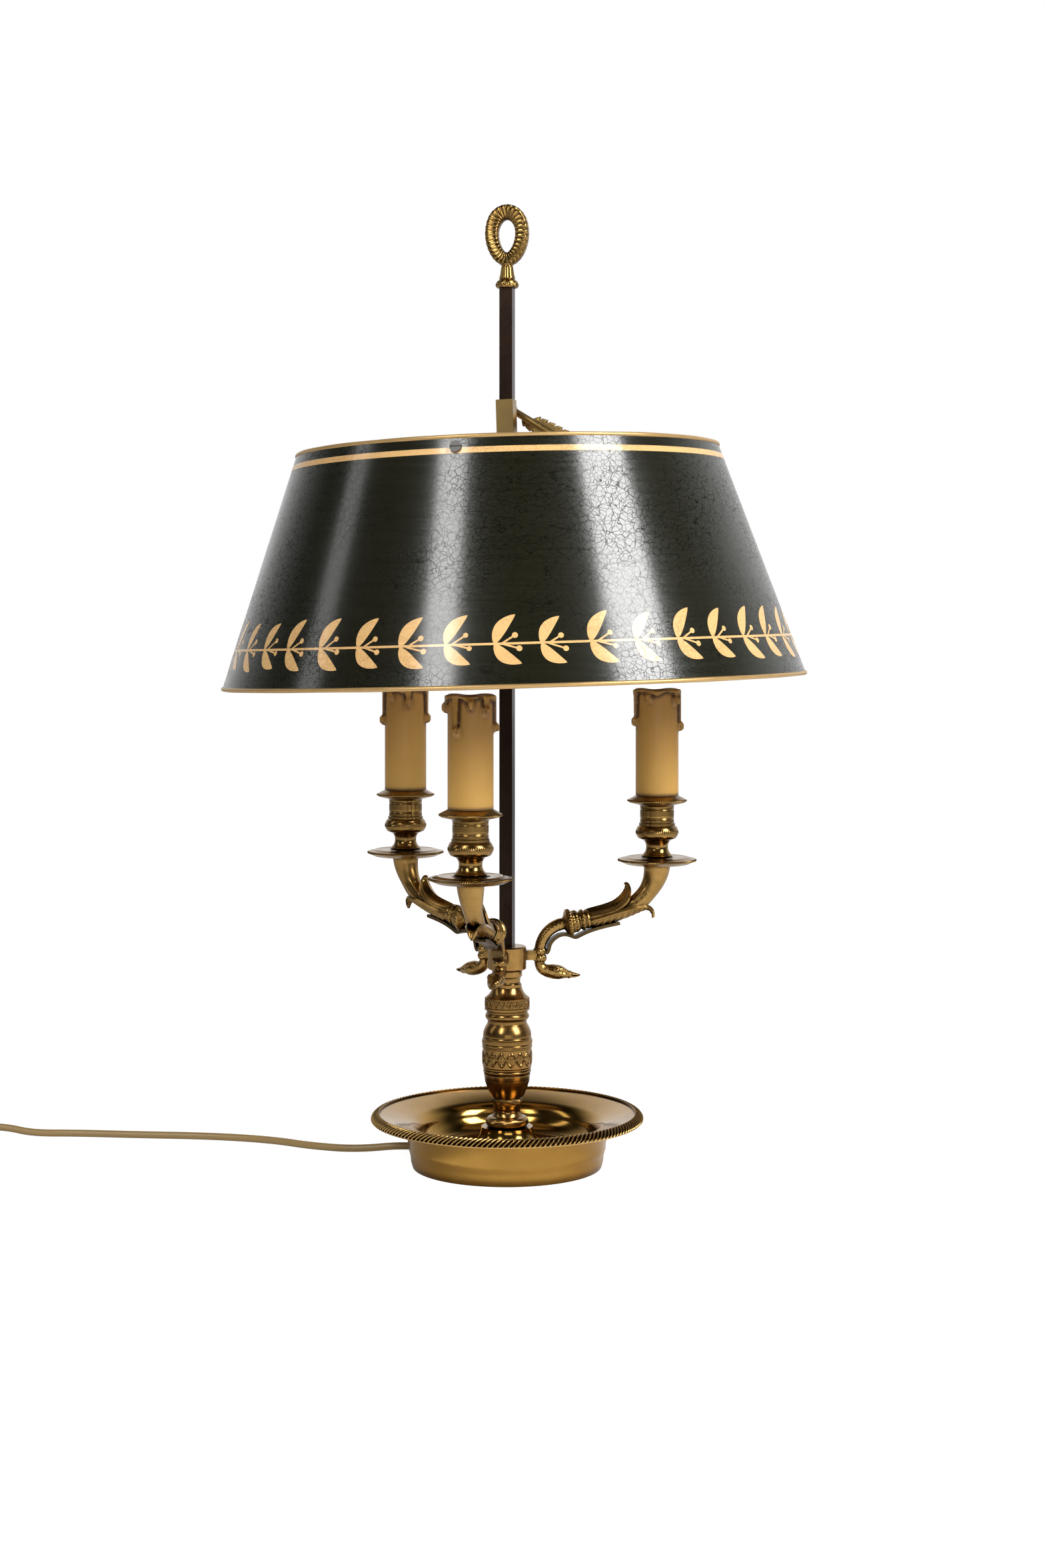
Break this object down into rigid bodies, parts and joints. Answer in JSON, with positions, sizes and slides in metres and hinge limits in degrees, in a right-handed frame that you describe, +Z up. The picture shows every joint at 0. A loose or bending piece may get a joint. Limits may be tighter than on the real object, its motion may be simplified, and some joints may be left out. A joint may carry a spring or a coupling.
{
  "type": "three-light table lamp",
  "caption": "Bouillotte lamp: dished brass foot, scrolled arms with candle cups, a square rod with ring finial, and a painted cone shade that slides on it and is clamped by an arrow key.",
  "frame": {"origin": "middle of the felted underside of the foot, on the table", "axes": "+Z up along the stem and rod; the front arm points along -Y, and the cord leaves toward -X"},
  "size_m": [0.6812, 0.37, 0.6002],
  "materials": {
    "dish_brass": "polished brass with brown age in the recesses",
    "stem_brass": "polished brass with dark engraved lines",
    "arm_brass": "cast and chased brass, brown in the hollows",
    "cup_brass": "turned brass, satin",
    "finial_brass": "cast brass, leaf relief",
    "sleeve_brass": "drawn brass, satin",
    "spider_brass": "rolled brass, satin",
    "rod_bronze": "dark brown patinated, semi-gloss",
    "contact_brass": "bright stamped brass",
    "steel": "zinc plated",
    "felt": "green felt",
    "shade_paint": "black-green painted tole with fine craquelure",
    "rim_gilt": "gilt paint, worn",
    "candle_card": "amber candle sleeve, satin",
    "holder_moulding": "black moulded",
    "cord_jacket": "gold-brown flexible jacket",
    "switch_moulding": "brown moulded",
    "rocker_moulding": "brown moulded",
    "plug_moulding": "brown moulded"
  },
  "bodies": {
    "stand": {"arm_front": "arm_brass", "arm_hub": "stem_brass", "arm_left": "arm_brass", "arm_right": "arm_brass", "arm_screws": "steel", "base_dish": "dish_brass", "base_nut": "steel", "base_plate": "steel", "base_washer": "steel", "candle_cup_front": "cup_brass", "candle_cup_left": "cup_brass", "candle_cup_right": "cup_brass", "candle_front": "candle_card", "candle_left": "candle_card", "candle_right": "candle_card", "cord": "cord_jacket", "cord_bush": "switch_moulding", "cord_coil": "cord_jacket", "cord_lead": "cord_jacket", "cord_tail": "cord_jacket", "cup_nipples": "steel", "drip_pan_front": "cup_brass", "drip_pan_left": "cup_brass", "drip_pan_right": "cup_brass", "felt_pad": "felt", "finial": "finial_brass", "holder_contacts": "contact_brass", "horn_front": "arm_brass", "horn_left": "arm_brass", "horn_right": "arm_brass", "lampholder_front": "holder_moulding", "lampholder_left": "holder_moulding", "lampholder_right": "holder_moulding", "plug_body": "plug_moulding", "plug_pins": "contact_brass", "screw_shell_front": "contact_brass", "screw_shell_left": "contact_brass", "screw_shell_right": "contact_brass", "square_rod": "rod_bronze", "stem_baluster": "stem_brass", "stem_collar": "stem_brass", "stem_foot": "stem_brass", "stem_ring": "stem_brass", "stem_tube": "steel", "switch_lower": "switch_moulding", "switch_upper": "switch_moulding", "wire_cover_front": "arm_brass", "wire_cover_left": "arm_brass", "wire_cover_right": "arm_brass"},
    "shade": {"sleeve": "sleeve_brass", "clamp_boss": "sleeve_brass", "spider_arm_front": "spider_brass", "spider_arm_left": "spider_brass", "spider_arm_right": "spider_brass", "shade_shell": "shade_paint", "shade_rim_top": "rim_gilt", "shade_rim_bottom": "rim_gilt", "shade_screws": "spider_brass"},
    "key": {"arrow_key": "sleeve_brass"},
    "rocker": {"switch_rocker": "rocker_moulding"}
  },
  "joints": [
    {"name": "shade_slide", "type": "slide", "parent": "stand", "child": "shade", "axis": [0, 0, 1], "range_m": [-0.06, 0.067]},
    {"name": "key_turn", "type": "hinge", "parent": "shade", "child": "key", "pos_m": [-0.00061, 0.013, 0.47369], "axis": [0, 1, 0], "range_deg": [0, 180]},
    {"name": "rocker_tilt", "type": "hinge", "parent": "stand", "child": "rocker", "pos_m": [-0.37803, -0.00097, 0.0155], "axis": [-0.1874, 0.9823, 0], "range_deg": [0, 16]}
  ]
}
